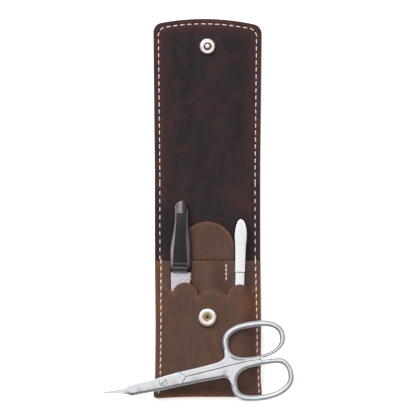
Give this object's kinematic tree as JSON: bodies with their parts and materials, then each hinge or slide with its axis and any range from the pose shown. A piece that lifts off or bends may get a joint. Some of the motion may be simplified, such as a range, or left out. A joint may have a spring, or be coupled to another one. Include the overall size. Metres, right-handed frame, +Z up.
{
  "type": "manicure set case",
  "caption": "Open leather pocket case with a folding snap flap, holding a nail file and tweezers in slits and nail scissors lying across its pocket.",
  "frame": {"origin": "middle of the underside of the case's back panel, on the surface that the open case lies on", "axes": "+Z up from that surface, +Y along the case from the pocket towards the flap, +X to the right as seen from above"},
  "size_m": [0.09, 0.1831, 0.0126],
  "materials": {
    "leather": "satin",
    "lining": "matte",
    "snap_metal": "polished",
    "brass": "polished",
    "black_plastic": "gloss",
    "file_grit": "matte",
    "chrome": "polished",
    "satin_steel": "satin"
  },
  "bodies": {
    "root": {"back_leather": "leather", "pocket_front": "leather", "back_lining": "lining", "divider_tab": "leather", "snap_socket": "snap_metal", "snap_spring": "brass", "snap_eyelet": "brass"},
    "spine": {"spine_leather": "leather", "spine_lining": "lining"},
    "flap": {"flap_leather": "leather", "flap_lining": "lining", "snap_cap": "snap_metal", "snap_stud": "snap_metal"},
    "file": {"file_handle": "black_plastic", "file_blade": "file_grit"},
    "tweezers": {"tweezers_rear_arm": "chrome", "tweezers_weld": "chrome"},
    "tweezers_arm": {"tweezers_front_arm": "chrome"},
    "scissors": {"scissors_top_half": "satin_steel", "scissors_screw": "satin_steel"},
    "scissors_under": {"scissors_under_half": "satin_steel"}
  },
  "joints": [
    {"name": "spine_fold", "type": "hinge", "parent": "root", "child": "spine", "pos_m": [0, 0.0463, 0.0021], "axis": [-1, 0, 0], "range_deg": [-90, 0]},
    {"name": "flap_fold", "type": "hinge", "parent": "spine", "child": "flap", "pos_m": [0, 0.0569, 0.0021], "axis": [-1, 0, 0], "range_deg": [-88.66, 0]},
    {"name": "file_slide", "type": "slide", "parent": "root", "child": "file", "axis": [0.0192, 0.9998, 0], "range_m": [0, 0.06]},
    {"name": "tweezers_slide", "type": "slide", "parent": "root", "child": "tweezers", "axis": [0.0209, 0.9998, 0], "range_m": [0, 0.058]},
    {"name": "tweezers_squeeze", "type": "hinge", "parent": "tweezers", "child": "tweezers_arm", "pos_m": [0.01585, 0.02155, 0.0054], "axis": [0.9998, -0.0209, 0], "range_deg": [0, 0.85], "stiffness_Nm_per_rad": 2},
    {"name": "scissors_lift", "type": "slide", "parent": "root", "child": "scissors", "axis": [0, 0, 1], "range_m": [0, 0.045]},
    {"name": "scissors_open", "type": "hinge", "parent": "scissors", "child": "scissors_under", "pos_m": [-0.02105, -0.04397, 0.0107], "axis": [0, 0, -1], "range_deg": [0, 50]}
  ],
  "couplings": [
    {"joint": "flap_fold", "follows": "spine_fold", "ratio": 0.98503}
  ]
}
